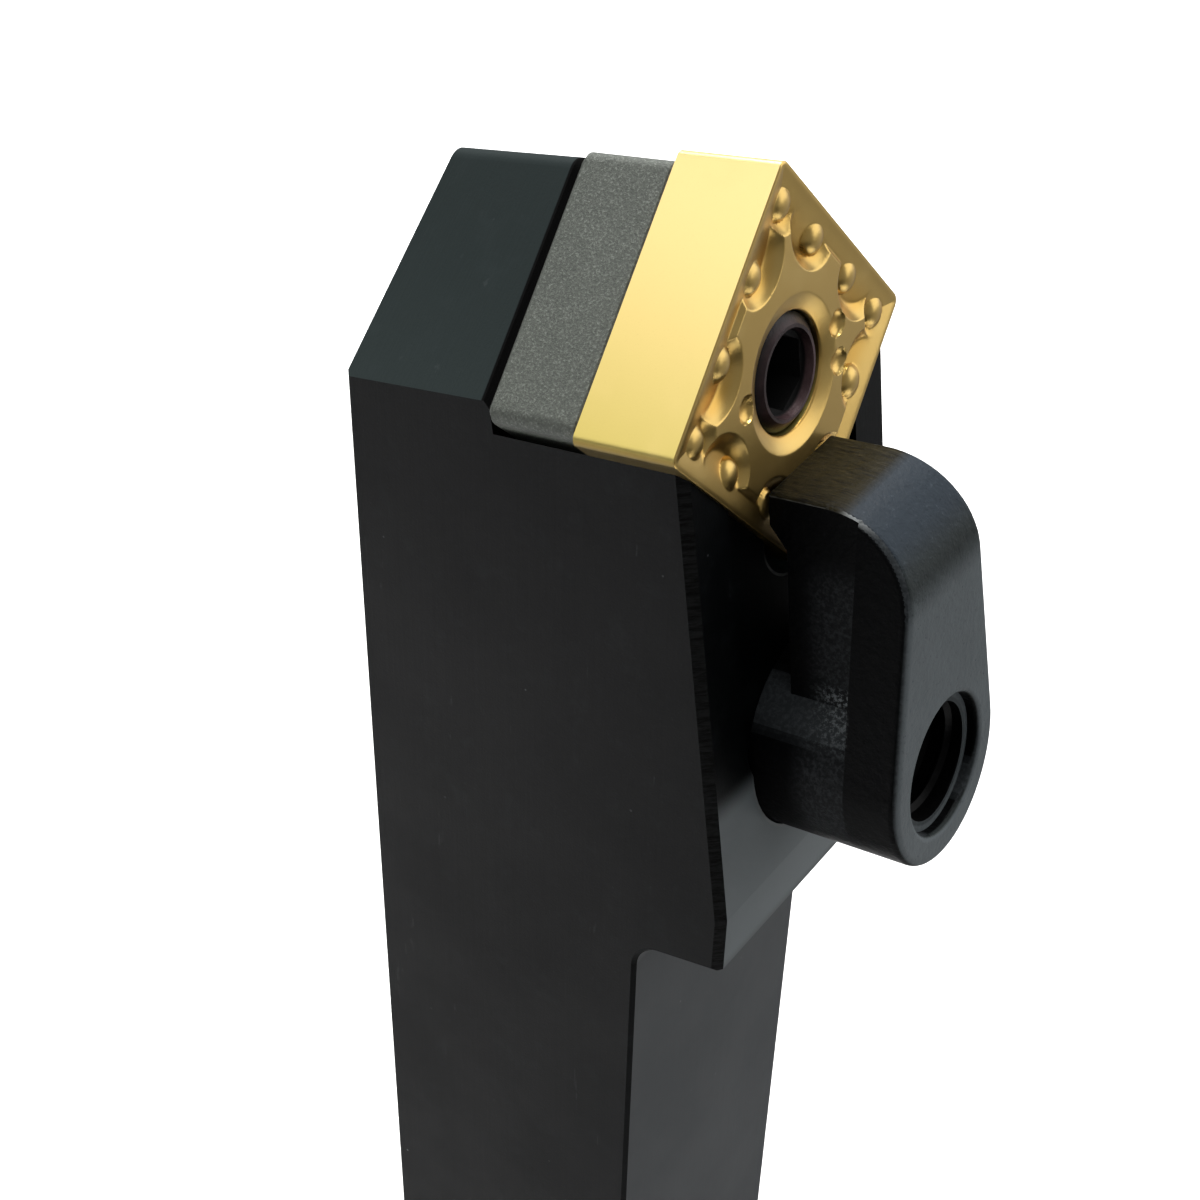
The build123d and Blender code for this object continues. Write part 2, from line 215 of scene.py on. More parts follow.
class Recipe:
    """Builds one finish from nodes."""

    def __init__(self, surface: Surface) -> None:
        """Starts an empty material.

        Args:
            surface: the finish that it is for.
        """
        self.material = bpy.data.materials.new(surface.value)
        self.material.use_nodes = True
        self.tree = self.material.node_tree
        self.tree.nodes.clear()
        self.shader = self.tree.nodes.new("ShaderNodeBsdfPrincipled")
        output = self.tree.nodes.new("ShaderNodeOutputMaterial")
        self.tree.links.new(self.shader.outputs["BSDF"], output.inputs["Surface"])
        self._place: Optional[bpy.types.NodeSocket] = None

    def node(self, kind: str, settings: dict[str, Any], inputs: dict[Any, Any]) -> bpy.types.Node:
        """Adds one node.

        Args:
            kind: the node's type.
            settings: its settings, which are set first.
            inputs: values, signals or sockets for its inputs, by name or number.

        Returns:
            The node.
        """
        made = self.tree.nodes.new(kind)
        for name, setting in settings.items():
            setattr(made, name, setting)
        for name, value in inputs.items():
            self.feed(made.inputs[name], value)
        return made

    def feed(self, socket: bpy.types.NodeSocket, value: Any) -> None:
        """Sets a socket to a value, or links it.

        Args:
            socket: the input.
            value: a number, a colour, a signal or an output socket.
        """
        if isinstance(value, Signal):
            self.tree.links.new(value.socket, socket)
        elif isinstance(value, bpy.types.NodeSocket):
            self.tree.links.new(value, socket)
        elif isinstance(value, tuple) and socket.type == "RGBA":
            socket.default_value = (*value, 1.0)
        else:
            socket.default_value = value

    def signal(self, kind: str, settings: dict[str, Any], inputs: dict[Any, Any]) -> Signal:
        """Adds one node and returns its first output as a signal."""
        return Signal(self, self.node(kind, settings, inputs).outputs[0])

    def place(self) -> bpy.types.NodeSocket:
        """Returns the place on the object, in metres."""
        if self._place is None:
            self._place = self.node("ShaderNodeTexCoord", {}, {}).outputs["Object"]
        return self._place

    def _dot(self, socket: bpy.types.NodeSocket, direction: Vector) -> Signal:
        """Returns how far a vector goes along a direction."""
        inputs = {0: socket, 1: tuple(direction)}
        product = self.node("ShaderNodeVectorMath", {"operation": "DOT_PRODUCT"}, inputs)
        return Signal(self, product.outputs["Value"])

    def along(self, direction: Vector, origin: Vector = ORIGIN) -> Signal:
        """Measures along a direction, in millimetres.

        Args:
            direction: the direction, of length 1.
            origin: the point in metres that is 0.

        Returns:
            The distance.
        """
        start = direction.dot(origin) * MM_PER_METRE
        return self._dot(self.place(), direction) * MM_PER_METRE - start

    def from_axis(self, seat: "SeatFrame", back: float) -> Signal:
        """Measures the distance from an axis square to the seat, in millimetres.

        Args:
            seat: the seat's axes.
            back: where the axis crosses the seat.

        Returns:
            The distance.
        """
        one = self.along(seat.back, seat.origin) - back
        two = self.along(seat.across, seat.origin)
        return (one * one + two * two) ** 0.5

    def facing(self, direction: Vector) -> Signal:
        """Says how squarely the surface faces a direction, 1 at most."""
        normal = self.node("ShaderNodeNewGeometry", {}, {}).outputs["True Normal"]
        return self._dot(normal, direction)

    def noise(self, pattern: Pattern) -> Signal:
        """Adds a soft random pattern between 0 and 1.

        Args:
            pattern: what it looks like.

        Returns:
            The pattern.
        """
        where = self.place()
        if pattern.scale is not None:
            turn = tuple(math.radians(angle) for angle in pattern.turn)
            inputs = {"Vector": where, "Rotation": turn, "Scale": pattern.scale}
            where = self.node("ShaderNodeMapping", {}, inputs).outputs[0]
        inputs = {
            "Vector": where,
            "Scale": 1.0 / (pattern.grain * MM),
            "Detail": pattern.detail,
            "Roughness": pattern.rough,
        }
        return self.signal("ShaderNodeTexNoise", {"noise_dimensions": "3D"}, inputs)

    def cells(self, pitch: float) -> Signal:
        """Returns the distance to the nearest of many points.

        Args:
            pitch: the distance between the points, in millimetres.

        Returns:
            The pattern.
        """
        inputs = {"Vector": self.place(), "Scale": 1.0 / (pitch * MM)}
        return self.signal("ShaderNodeTexVoronoi", {"feature": "F1"}, inputs)

    def mix(self, first: Any, second: Any, share: Value) -> bpy.types.NodeSocket:
        """Mixes two colours.

        Args:
            first: the colour where the share is 0.
            second: the colour where it is 1.
            share: the share of the second.

        Returns:
            The mixed colour.
        """
        mixed = self.node("ShaderNodeMix", {"data_type": "RGBA", "clamp_factor": True}, {})
        for number, value in ((MIX_FACTOR, share), (MIX_FIRST, first), (MIX_SECOND, second)):
            self.feed(mixed.inputs[number], value)
        return mixed.outputs[MIX_RESULT]

    def blend(self, base: Any, *layers: tuple[Any, Value]) -> bpy.types.NodeSocket:
        """Lays colours over one another.

        Args:
            base: the lowest colour.
            layers: each colour, or coat, with where it lies.

        Returns:
            The blended colour.
        """
        for colour, where in layers:
            if isinstance(colour, Coat):
                colour, where = colour.colour, where * colour.share
            base = self.mix(base, colour, where)
        return base

    def relief(self, *layers: tuple[Signal, float]) -> bpy.types.NodeSocket:
        """Turns patterns into a bumpy normal.

        Args:
            layers: each pattern with its height in millimetres.

        Returns:
            The normal.
        """
        normal: Optional[bpy.types.NodeSocket] = None
        for pattern, height in layers:
            inputs: dict[str, Any] = {"Height": pattern, "Distance": height * MM, "Strength": 1.0}
            if normal is not None:
                inputs["Normal"] = normal
            normal = self.node("ShaderNodeBump", {}, inputs).outputs[0]
        assert normal is not None
        return normal

    def finish(self, **sockets: Any) -> bpy.types.Material:
        """Feeds the shader and returns the material.

        Args:
            sockets: values by the shader's socket names, with _ for a space.

        Returns:
            The material.
        """
        for name, value in sockets.items():
            self.feed(self.shader.inputs[name.replace("_", " ")], value)
        return self.material


@dataclass(frozen=True)
class SeatFrame:
    """The seat's axes: back along it, across it and out of the rake face. Metres.

    The clamp screw's axis crosses the seat at screw_back, in millimetres.
    """

    origin: Vector = Vector((0.0092960, 0.0, 0.0912812))
    back: Vector = Vector((0.1470245, 0.0, -0.9891328)).normalized()
    across: Vector = Vector((0.0, 1.0, 0.0))
    out: Vector = Vector((0.9891328, 0.0, 0.1470245)).normalized()
    screw_back: float = 17.2

    def point(self, back: float, across: float, out: float) -> Vector:
        """Turns a point of the seat, in millimetres, into one of the object, in metres."""
        return self.origin + MM * (back * self.back + across * self.across + out * self.out)

    def matrix(self, back: float = 0.0, out: float = 0.0, turn: float = 0.0) -> Matrix:
        """Gives the matrix that puts a piece made at the world's origin on the seat.

        Args:
            back: millimetres back along the seat.
            out: millimetres above the rake face.
            turn: degrees about the rake face's normal.

        Returns:
            The matrix.
        """
        axes = Matrix((self.back, self.across, self.out)).transposed().to_4x4()
        spin = Matrix.Rotation(math.radians(turn), 4, "Z")
        return Matrix.Translation(self.point(back, 0.0, out)) @ axes @ spin


class Workbench:
    """The few modelling steps that the new pieces share."""

    @staticmethod
    def clear_selection() -> None:
        """Deselects everything."""
        if bpy.context.object is not None and bpy.context.object.mode != "OBJECT":
            bpy.ops.object.mode_set(mode="OBJECT")
        bpy.ops.object.select_all(action="DESELECT")

    @staticmethod
    def pick(piece: bpy.types.Object) -> None:
        """Selects one piece alone and makes it active."""
        Workbench.clear_selection()
        piece.select_set(True)
        bpy.context.view_layer.objects.active = piece

    @staticmethod
    def take(name: str) -> bpy.types.Object:
        """Names the piece that was just added and returns it."""
        piece = bpy.context.object
        piece.name = name
        piece.data.name = name
        return piece

    @staticmethod
    def coat(piece: bpy.types.Object, material: bpy.types.Material) -> None:
        """Gives a new piece its only material."""
        piece.data.materials.clear()
        piece.data.materials.append(material)

    @staticmethod
    def settle(piece: bpy.types.Object, place: Matrix) -> None:
        """Moves a piece's mesh to its place and leaves its object at the origin.

        Args:
            piece: the piece.
            place: the matrix of its place.
        """
        piece.data.transform(place @ piece.matrix_world)
        piece.matrix_world = Matrix.Identity(4)
        piece.data.update()

    @staticmethod
    def face_outwards(piece: bpy.types.Object, nearest: float = 1e-7) -> None:
        """Merges doubles and turns the faces of a closed piece outwards.

        Args:
            piece: the piece.
            nearest: points closer than this are doubles, in metres.
        """
        Workbench.pick(piece)
        bpy.ops.object.mode_set(mode="EDIT")
        bpy.ops.mesh.select_all(action="SELECT")
        bpy.ops.mesh.remove_doubles(threshold=nearest)
        bpy.ops.mesh.normals_make_consistent(inside=False)
        bpy.ops.object.mode_set(mode="OBJECT")

    @staticmethod
    def smooth(piece: bpy.types.Object, angle: float) -> None:
        """Shades a piece smooth except over edges sharper than an angle in degrees."""
        Workbench.pick(piece)
        bpy.ops.object.shade_smooth_by_angle(angle=math.radians(angle))


@dataclass(frozen=True)
class GoldCoating:
    """Satin gold coating of the insert, with painted shade: darker on the moulded rake face and in
    its grooves, away from the nose and on faces turned down. Millimetres.
    """

    ground: Colour = (0.86, 0.66, 0.285)
    # Painted shade: the ground flank is painted darker from the nose towards its lower end.
    flank_painted_shade: Colour = (0.50, 0.41, 0.105)
    # Painted shade: the moulded rake face is painted a darker gold than the ground flank, though
    # its coating is the same.
    moulded: Colour = (0.63, 0.43, 0.137)
    # Painted shade in the chip breaker's grooves: the deeper parts of the rake face are painted
    # darker.
    groove_painted_shade: Coat = Coat((0.58, 0.33, 0.065), 0.7)
    pale: Coat = Coat((0.78, 0.60, 0.25), 0.2)
    speckled: Coat = Coat((0.14, 0.088, 0.024), 0.10)
    # Painted shade on the flanks that turn away from the nose; the rake faces are left out.
    underside: Coat = Coat((0.14, 0.088, 0.024), 0.85)
    roughness: float = 0.33
    cloud: Pattern = Pattern(2.4, 2.0, 0.5)
    grain: Pattern = Pattern(0.06, 2.0, 0.6)
    grinding: Pattern = Pattern(0.11, 2.0, 0.5, (0.0, 8.45, 0.0), (1.0, 0.08, 0.08))
    grain_depth: float = 0.004
    grinding_depth: float = 0.003
    rake_tilt: Span = (0.2, 0.5)
    downward_tilt: Span = (0.5, -0.05)
    low_to_nose: Span = (87.5, 99.5)
    groove_depth: Span = (-0.1, -0.42)
    cloud_cut: Span = (0.5, 0.8)
    speck_cut: Span = (0.6, 0.8)

    def make(self, seat: SeatFrame) -> bpy.types.Material:
        """Builds the material.

        Args:
            seat: the seat's axes.

        Returns:
            The material.
        """
        recipe = Recipe(Surface.INSERT)
        on_rake = recipe.facing(seat.out).size().rise(*self.rake_tilt)
        # Where the flanks turn away from the nose, for the painted shade.
        turned_down_shade = recipe.facing(NOSEWARD).rise(*self.downward_tilt) * (1.0 - on_rake)
        level = recipe.along(NOSEWARD)
        height = recipe.along(seat.out, seat.origin)
        cloud = recipe.noise(self.cloud)
        grain = recipe.noise(self.grain)
        grinding = recipe.noise(self.grinding)
        gold = recipe.blend(
            # painted shade: darker flank away from the nose, full gold towards it
            self.flank_painted_shade,
            (self.ground, level.rise(*self.low_to_nose)),
            # painted shade over the whole rake face
            (self.moulded, on_rake),
            (self.groove_painted_shade, on_rake * height.rise(*self.groove_depth)),
            (self.pale, cloud.rise(*self.cloud_cut)),
            (self.speckled, grain.rise(*self.speck_cut)),
            (self.underside, turned_down_shade),
        )
        rough = self.roughness + cloud * 0.06 - on_rake * 0.06
        normal = recipe.relief((grain, self.grain_depth), (grinding, self.grinding_depth))
        return recipe.finish(Base_Color=gold, Metallic=1.0, Roughness=rough, Normal=normal)


@dataclass
class Insert:
    """The gold square insert. Its moulded chip breaker lies on both faces. Millimetres."""

    side: float = 12.694
    thickness: float = 4.76
    corner_round: float = 0.4
    hole: float = 5.16
    flare: float = 6.7
    flare_depth: float = 0.3
    flare_edge: float = 0.06
    flare_curve: float = 1.1
    land: float = 0.12
    floor_slope: float = 0.32
    floor_ease: float = 0.18
    groove_width: float = 1.2
    wall_depth: float = 0.54
    wall_run: float = 1.05
    wall_curve: float = 2.1
    wall_ease: float = 0.05
    scoop_inset: float = 1.15
    scoop_along: float = 2.45
    scoop_half_length: float = 1.85
    scoop_half_width: float = 1.52
    corner_scoop_radius: float = 1.45
    knob_inset: float = 1.15
    corner_knob_inset: float = 1.3
    knob_pitch: float = 3.6
    knob_radius: float = 0.78
    knob_foot: float = 0.46
    knob_top: float = 0.02
    knob_curve: float = 2.2
    mark_reach: float = 3.62
    mark_pitch: float = 1.7
    mark_radius: float = 0.6
    mark_depth: float = 0.3
    edge_round: float = 0.035
    along_side: int = 116
    along_corner: int = 16
    rings: int = 108
    lower_rings: int = 28
    seat_turn: float = 45.0
    crease: float = 38.0
    finish: GoldCoating = field(default_factory=GoldCoating)

    def knobs(self) -> list[tuple[float, float]]:
        """Lists the middles of the knobs, from the insert's centre along its sides."""
        corner = self.side / 2 - self.corner_knob_inset
        edge = self.side / 2 - self.knob_inset
        half = self.knob_pitch / 2
        places = []
        for one in (-1, 1):
            for two in (-1, 1):
                places.append((one * corner, two * corner))
                places.append((one * edge, two * half))
                places.append((one * half, two * edge))
        return places

    def marks(self) -> list[tuple[float, float]]:
        """Lists the middles of the index dots, from the insert's centre along its sides."""
        turn = math.sqrt(0.5)
        half = self.mark_pitch / 2
        own = [(half, self.mark_reach), (-half, self.mark_reach), (0.0, -self.mark_reach)]
        return [((a + b) * turn, (b - a) * turn) for a, b in own]

    def scoops(self) -> list[tuple[float, float, float, float]]:
        """Lists the oval hollows of the chip breaker: middle and half sizes along the sides."""
        reach = self.side / 2 - self.scoop_inset
        along = self.scoop_along
        length, width = self.scoop_half_length, self.scoop_half_width
        corner = self.corner_scoop_radius
        hollows = []
        for one in (-1, 1):
            for two in (-1, 1):
                hollows.append((one * reach, two * reach, corner, corner))
                hollows.append((one * reach, two * along, width, length))
                hollows.append((one * along, two * reach, length, width))
        return hollows

    def from_edge(self, u: float, v: float) -> float:
        """Measures how far inside the rounded square outline a point lies."""
        half = self.side / 2
        inner = half - self.corner_round
        over_u, over_v = abs(u) - inner, abs(v) - inner
        if over_u > 0 and over_v > 0:
            return self.corner_round - math.hypot(over_u, over_v)
        return half - max(abs(u), abs(v))

    def height(self, u: float, v: float) -> float:
        """Gives the height of the moulded face over its cutting edges.

        Args:
            u: from the centre along one side.
            v: from the centre along the other.

        Returns:
            The height, below 0 in the chip breaker.
        """
        inside = self.from_edge(u, v)
        run = max(inside - self.land, 0.0)
        floor = self.floor_slope * run * run / (run + self.floor_ease)
        past_wall = self.groove_width - inside
        for su, sv, half_u, half_v in self.scoops():
            within = 1.0 - math.hypot((u - su) / half_u, (v - sv) / half_v)
            past_wall = max(past_wall, within * min(half_u, half_v))
        climb = max(1.0 - max(past_wall, 0.0) / self.wall_run, 0.0)
        wall = self.wall_depth * (1.0 - climb**self.wall_curve)
        level = -max((floor + wall - math.hypot(floor - wall, self.wall_ease)) / 2, 0.0)
        knob_rise = self.knob_foot - self.knob_top
        for ku, kv in self.knobs():
            reach = math.hypot(u - ku, v - kv) / self.knob_radius
            if reach < 1.0:
                dome = math.sqrt(1.0 - reach**self.knob_curve)
                level = max(level, -self.knob_foot + knob_rise * dome)
        for mu, mv in self.marks():
            reach = math.hypot(u - mu, v - mv) / self.mark_radius
            if reach < 1.0:
                level = min(level, -self.mark_depth * math.sqrt(1.0 - reach * reach))
        around_hole = math.hypot(u, v)
        flare_width = self.flare / 2 - self.hole / 2
        share = min(max((self.flare / 2 - around_hole) / flare_width, 0.0), 1.0)
        level = min(level, -self.flare_depth * share**self.flare_curve)
        rim = max(self.flare_edge - (around_hole - self.hole / 2), 0.0)
        hone = self.edge_round - min(inside, self.edge_round)
        return level - hone - rim

    def outline(self) -> list[tuple[float, float]]:
        """Places the mesh's columns along the rounded square, closely spaced in its corners."""
        half = self.side / 2
        inner = half - self.corner_round
        own: list[tuple[float, float]] = []
        for step in range(self.along_side):
            own.append((half, -inner + 2 * inner * step / self.along_side))
        for step in range(self.along_corner):
            angle = math.pi / 2 * step / self.along_corner
            bend_u, bend_v = math.cos(angle), math.sin(angle)
            own.append((inner + self.corner_round * bend_u, inner + self.corner_round * bend_v))
        points: list[tuple[float, float]] = []
        for quarter in range(4):
            turn = quarter * math.pi / 2
            cos, sin = math.cos(turn), math.sin(turn)
            points += [(u * cos - v * sin, u * sin + v * cos) for u, v in own]
        return points

    def build(self, seat: SeatFrame) -> bpy.types.Object:
        """Models the insert: one strip from the hole over the rake face and round to the underside.

        Args:
            seat: the seat's axes.

        Returns:
            The finished piece.
        """
        outline = self.outline()
        around = len(outline)
        rows = self.rings + self.lower_rings + 2
        Workbench.clear_selection()
        bpy.ops.mesh.primitive_grid_add(x_subdivisions=around, y_subdivisions=rows, size=2.0)
        piece = Workbench.take("insert_coated")
        for vertex in piece.data.vertices:
            edge_u, edge_v = outline[round((vertex.co.x + 1) / 2 * around) % around]
            row = round((vertex.co.y + 1) / 2 * rows)
            lower = self.rings < row < rows
            if lower:
                share = (rows - 1 - row) / self.lower_rings
            else:
                share = row / self.rings if row < rows else 0.0
            shrink = self.hole / 2 / math.hypot(edge_u, edge_v)
            scale = shrink + (1.0 - shrink) * share
            u, v = edge_u * scale, edge_v * scale
            level = self.height(u, v)
            vertex.co = (u * MM, v * MM, (-self.thickness - level if lower else level) * MM)
        Workbench.settle(piece, seat.matrix(turn=self.seat_turn))
        Workbench.face_outwards(piece)
        Workbench.smooth(piece, self.crease)
        Workbench.coat(piece, self.finish.make(seat))
        return piece


@dataclass(frozen=True)
class Rim:
    """The painted highlight on the rear part of a bore's rim. Millimetres."""

    back: float
    radius: Span
    slant: float
    rear: Span

    def gleam(self, recipe: Recipe, seat: SeatFrame) -> Signal:
        """Says where the rim gleams."""
        back = recipe.along(seat.back, seat.origin)
        across = recipe.along(SIDEWAYS)
        ring = recipe.from_axis(seat, self.back).rise(*self.radius)
        return ring * (back - across * self.slant).rise(*self.rear)


@dataclass(frozen=True)
class HolderOxide:
    """Ground and black-oxidised steel of the holder, lighter on the milled shank top. Painted shade
    darkens the head's top in front of the clamp's boss and a line along the seat's edge; painted
    highlights lie on the bores' rims. Millimetres.
    """

    side_face: Colour = (0.0012, 0.0016, 0.0020)
    front: Colour = (0.013, 0.019, 0.019)
    front_low: Colour = (0.021, 0.029, 0.029)
    # Painted shadow: the head's top is painted near black in front of the clamp's boss and much
    # lighter behind it.
    top: Colour = (0.0006, 0.0010, 0.0014)
    top_rear: Colour = (0.150, 0.169, 0.176)
    shank: Colour = (0.066, 0.070, 0.074)
    edge: Colour = (0.0080, 0.0085, 0.0085)
    # Black: the chamfer's dark stripes, and the painted shadow line along the seat's edge.
    black: Colour = (0.0003, 0.0003, 0.0003)
    rubbed: Colour = tint(70, 77, 80)
    scratched: Colour = tint(120, 124, 126)
    # Painted highlight on the rear of the clamp bore's and the corner relief's rims.
    rim_painted_highlight: Colour = tint(120, 124, 122)
    roughness: float = 0.41
    cloud: Pattern = Pattern(9.0, 3.0, 0.55)
    haze: Pattern = Pattern(1.7, 4.0, 0.62)
    fine: Pattern = Pattern(0.12, 3.0, 0.65)
    patches: Pattern = Pattern(3.0, 3.0, 0.5)
    milling: Pattern = Pattern(0.5, 2.0, 0.5, scale=(1.0, 1.0, 0.05))
    stripes: Pattern = Pattern(0.16, 3.0, 0.7, (0.0, 4.0, 0.0), (0.16, 0.16, 1.0))
    scrapes: Pattern = Pattern(0.7, 3.0, 0.6, (0.0, 25.0, 10.0), (1.0, 1.0, 0.08))
    scratches: Pattern = Pattern(0.25, 2.0, 0.6, (0.0, 0.0, 8.0), (1.0, 1.0, 0.03))
    cuts: Pattern = Pattern(0.13, 2.0, 0.5, (0.0, 8.45, 0.0), (1.0, 0.05, 0.05))
    speck_pitch: float = 1.9
    top_tilt: Span = (0.85, 0.95)
    front_tilt: Span = (0.45, 0.6)
    side_tilt: Span = (0.9, 0.97)
    chamfer_tilt: Span = (0.5, 0.6)
    chamfer_across: Span = (7.45, 7.6)
    chamfer_height: Span = (7.9, 8.6)
    shank_start: Span = (66.0, 64.0)
    seat_edge_low: Span = (-9.94, -9.86)
    seat_edge_high: Span = (-9.42, -9.52)
    seat_edge_along: Span = (74.0, 76.0)
    rear_start: Span = (17.0, 18.6)
    rear_waver: float = 1.2
    front_fade: Span = (96.0, 84.0)
    bore_rim: Rim = Rim(17.2, (4.89, 4.83), 0.4, (18.8, 20.2))
    relief_rim: Rim = Rim(6.83, (2.45, 2.39), 0.6, (8.6, 9.4))

    def make(self, seat: SeatFrame) -> bpy.types.Material:
        """Builds the material.

        Args:
            seat: the seat's axes.

        Returns:
            The material.
        """
        recipe = Recipe(Surface.HOLDER)
        x, y, z = (recipe.along(axis) for axis in (TOPWARD, SIDEWAYS, NOSEWARD))
        back = recipe.along(seat.back, seat.origin)
        height = recipe.along(seat.out, seat.origin)
        tilt = recipe.facing(TOPWARD)
        faces_up = tilt.rise(*self.top_tilt)
        faces_front = recipe.facing(NOSEWARD).rise(*self.front_tilt)
        faces_side = recipe.facing(SIDEWAYS).size().rise(*self.side_tilt)
        long_edge = y.size().rise(*self.chamfer_across) * x.rise(*self.chamfer_height)
        on_chamfer = tilt.rise(*self.chamfer_tilt) * (1.0 - faces_up) * long_edge
        on_shank = z.rise(*self.shank_start) * faces_up
        # Painted shadow: a black line along the seat's edge, in the gap under the shim.
        seat_gap_shadow = height.rise(*self.seat_edge_low) * height.rise(*self.seat_edge_high)
        seat_gap_shadow = seat_gap_shadow * (1.0 - faces_side) * z.rise(*self.seat_edge_along)
        cloud = recipe.noise(self.cloud)
        haze = recipe.noise(self.haze)
        fine = recipe.noise(self.fine)
        stripes = recipe.noise(self.stripes)
        # Where the painted shadow on the head's top ends, along a wavy line behind the boss.
        rear = (back + cloud * self.rear_waver).rise(*self.rear_start)
        rubbed = haze.rise(0.5, 0.8) * 0.045 + fine.rise(0.62, 0.8) * 0.07
        scrapes = recipe.noise(self.scrapes).rise(0.66, 0.72) * haze.rise(0.5, 0.6)
        specks = recipe.cells(self.speck_pitch).rise(0.05, 0.02)
        specks = specks * recipe.noise(self.patches).rise(0.5, 0.6)
        rims = self.bore_rim.gleam(recipe, seat) + self.relief_rim.gleam(recipe, seat)
        colour = recipe.blend(
            self.side_face,
            (recipe.mix(self.front, self.front_low, z.rise(*self.front_fade)), faces_front),
            (recipe.mix(self.top, self.top_rear, rear), faces_up * (1.0 - on_shank)),
            (self.shank, on_shank),
            (recipe.mix(self.black, self.edge, stripes.rise(0.35, 0.65)), on_chamfer),
            (self.rubbed, rubbed),
            (self.scratched, specks * 0.5 + scrapes * 0.05),
            # painted highlights on the bores' rims
            (self.rim_painted_highlight, rims * faces_up * (0.25 + haze * 0.6)),
            # painted shadow line along the seat's edge
            (self.black, seat_gap_shadow),
        )
        rough = self.roughness + cloud.rise(0.3, 0.7) * 0.08 + faces_front * 0.06
        rough = rough + on_shank * 0.03 + haze * 0.06 + seat_gap_shadow * 0.4
        normal = recipe.relief(
            (fine, 0.006),
            (recipe.noise(self.milling), 0.004),
            (recipe.noise(self.scratches), 0.004),
            (stripes * on_chamfer, 0.03),
            (recipe.noise(self.cuts) * faces_front, 0.012),
        )
        return recipe.finish(
            Base_Color=colour,
            Metallic=0.0,
            Roughness=rough,
            Specular_IOR_Level=0.085,
            Normal=normal,
        )


@dataclass(frozen=True)
class BareCarbide:
    """Sintered grey carbide of the shim. Millimetres."""

    body: Colour = (0.084, 0.092, 0.078)
    dark: Colour = (0.038, 0.043, 0.037)
    towards_nose: Coat = Coat((0.038, 0.043, 0.037), 0.16)
    pitted: Coat = Coat((0.038, 0.043, 0.037), 0.8)
    light: Coat = Coat((0.27, 0.29, 0.26), 0.46)
    grain: Pattern = Pattern(0.11, 4.0, 0.75)
    cloud: Pattern = Pattern(2.6, 2.0, 0.5)
    grain_depth: float = 0.035
    nose_fade: Span = (87.0, 98.0)

    def make(self) -> bpy.types.Material:
        """Builds the material."""
        recipe = Recipe(Surface.SHIM)
        grain = recipe.noise(self.grain)
        cloud = recipe.noise(self.cloud)
        colour = recipe.blend(
            self.dark,
            (self.body, cloud * 0.5 + 0.6),
            (self.towards_nose, recipe.along(NOSEWARD).rise(*self.nose_fade)),
            (self.light, grain.rise(0.5, 0.68)),
            (self.pitted, grain.rise(0.5, 0.32)),
        )
        rough = 0.52 + grain * 0.12
        normal = recipe.relief((grain, self.grain_depth))
        return recipe.finish(Base_Color=colour, Metallic=0.3, Roughness=rough, Normal=normal)


@dataclass(frozen=True)
class DarkPinSteel:
    """Hardened steel of the lock pin, oxidised dark maroon, with painted light on one side of its
    head and painted shade in its socket and round its rim. Millimetres.
    """

    body: Colour = (0.022, 0.011, 0.012)
    light: Colour = (0.11, 0.062, 0.066)
    # Black: painted shade in the socket and in the gap round the head.
    black: Colour = (0.0006, 0.0004, 0.0004)
    cloud: Pattern = Pattern(0.8, 3.0, 0.6)
    grain: Pattern = Pattern(0.08, 2.0, 0.6)
    cloud_depth: float = 0.03
    grain_depth: float = 0.008
    socket_mouth: Span = (-0.46, -0.62)
    outer_gap: Span = (2.1, 2.4)
    lit_side: Span = (0.6, 2.6)

    def make(self, seat: SeatFrame) -> bpy.types.Material:
        """Builds the material.

        Args:
            seat: the seat's axes.

        Returns:
            The material.
        """
        recipe = Recipe(Surface.PIN)
        height = recipe.along(seat.out, seat.origin)
        across = recipe.along(seat.across, seat.origin)
        back = recipe.along(seat.back, seat.origin)
        cloud = recipe.noise(self.cloud)
        grain = recipe.noise(self.grain)
        # Painted light: the head is paler towards +across and +back, with a wavy edge.
        rubbed = (across + back * 0.9 + cloud * 1.6).rise(*self.lit_side)
        # Painted shade: black below the socket's mouth and in a ring at the head's rim, where the
        # gap round the pin lies.
        below = height.rise(*self.socket_mouth)
        gap_shadow = recipe.from_axis(seat, 0.0).rise(*self.outer_gap) * 0.85
        colour = recipe.blend(
            self.body,
            (self.light, cloud.rise(0.4, 0.7) * 0.25 + rubbed * 0.55 + grain * 0.1),
            (self.black, (below + gap_shadow).at_most(1.0)),
        )
        rough = 0.32 + cloud * 0.14 + below * 0.4
        normal = recipe.relief((grain, self.grain_depth), (cloud, self.cloud_depth))
        return recipe.finish(Base_Color=colour, Metallic=0.4, Roughness=rough, Normal=normal)


